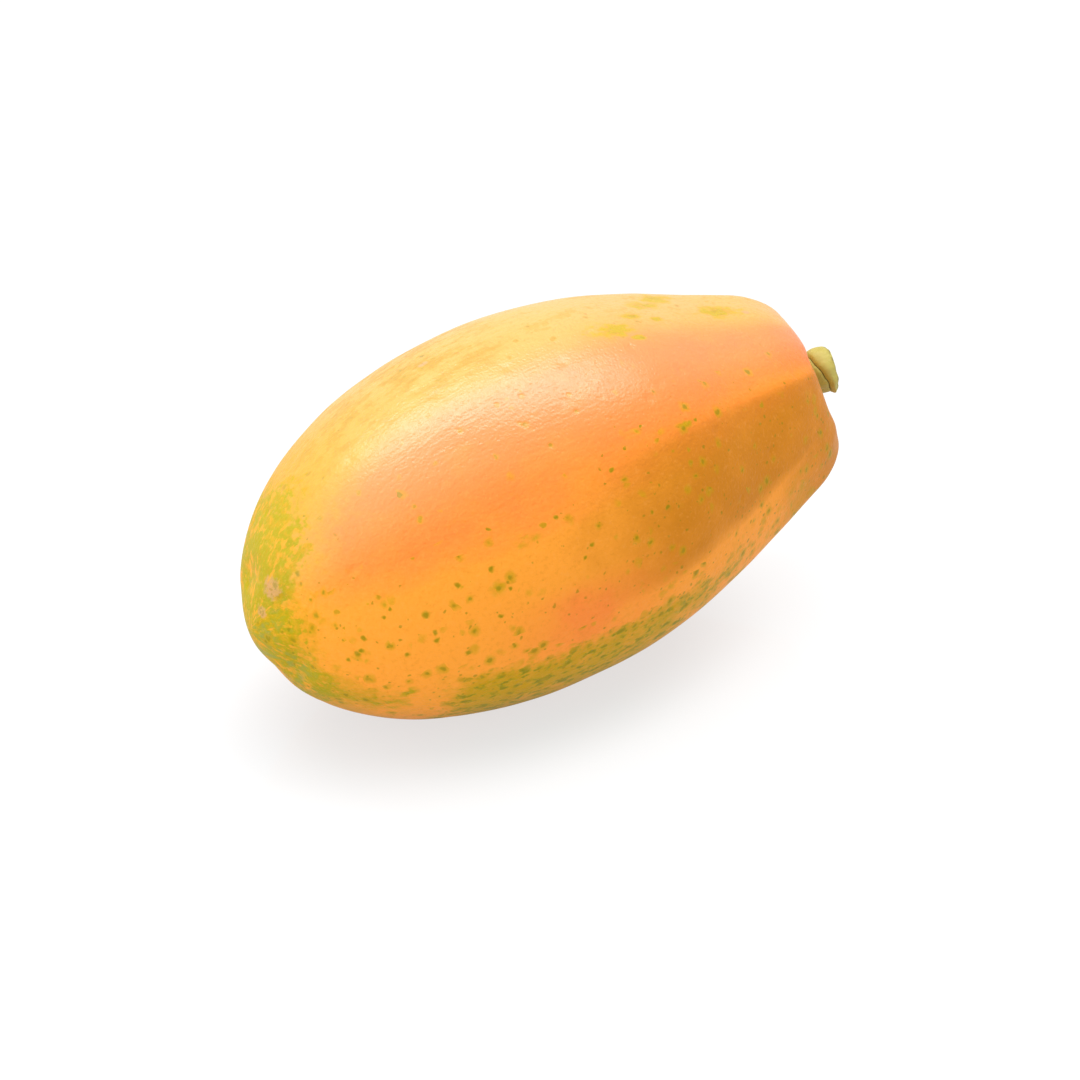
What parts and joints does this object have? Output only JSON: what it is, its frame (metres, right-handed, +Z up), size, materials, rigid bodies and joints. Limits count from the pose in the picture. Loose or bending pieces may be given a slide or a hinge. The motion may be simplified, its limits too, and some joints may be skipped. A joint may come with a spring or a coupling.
{
  "type": "papaya",
  "caption": "Ripe papaya lying on its side: a long egg-shaped fruit with soft lobes at the narrow stem end, and the cut stub of its stalk.",
  "frame": {"origin": "on the surface the fruit lies on, below the centre of the bounding box", "axes": "+X along the fruit towards its stem end, +Z up"},
  "size_m": [0.186, 0.0994, 0.0985],
  "materials": {
    "skin": "satin",
    "stalk": "matte"
  },
  "bodies": {
    "root": {"fruit": "skin", "stalk_stub": "stalk"}
  },
  "joints": []
}
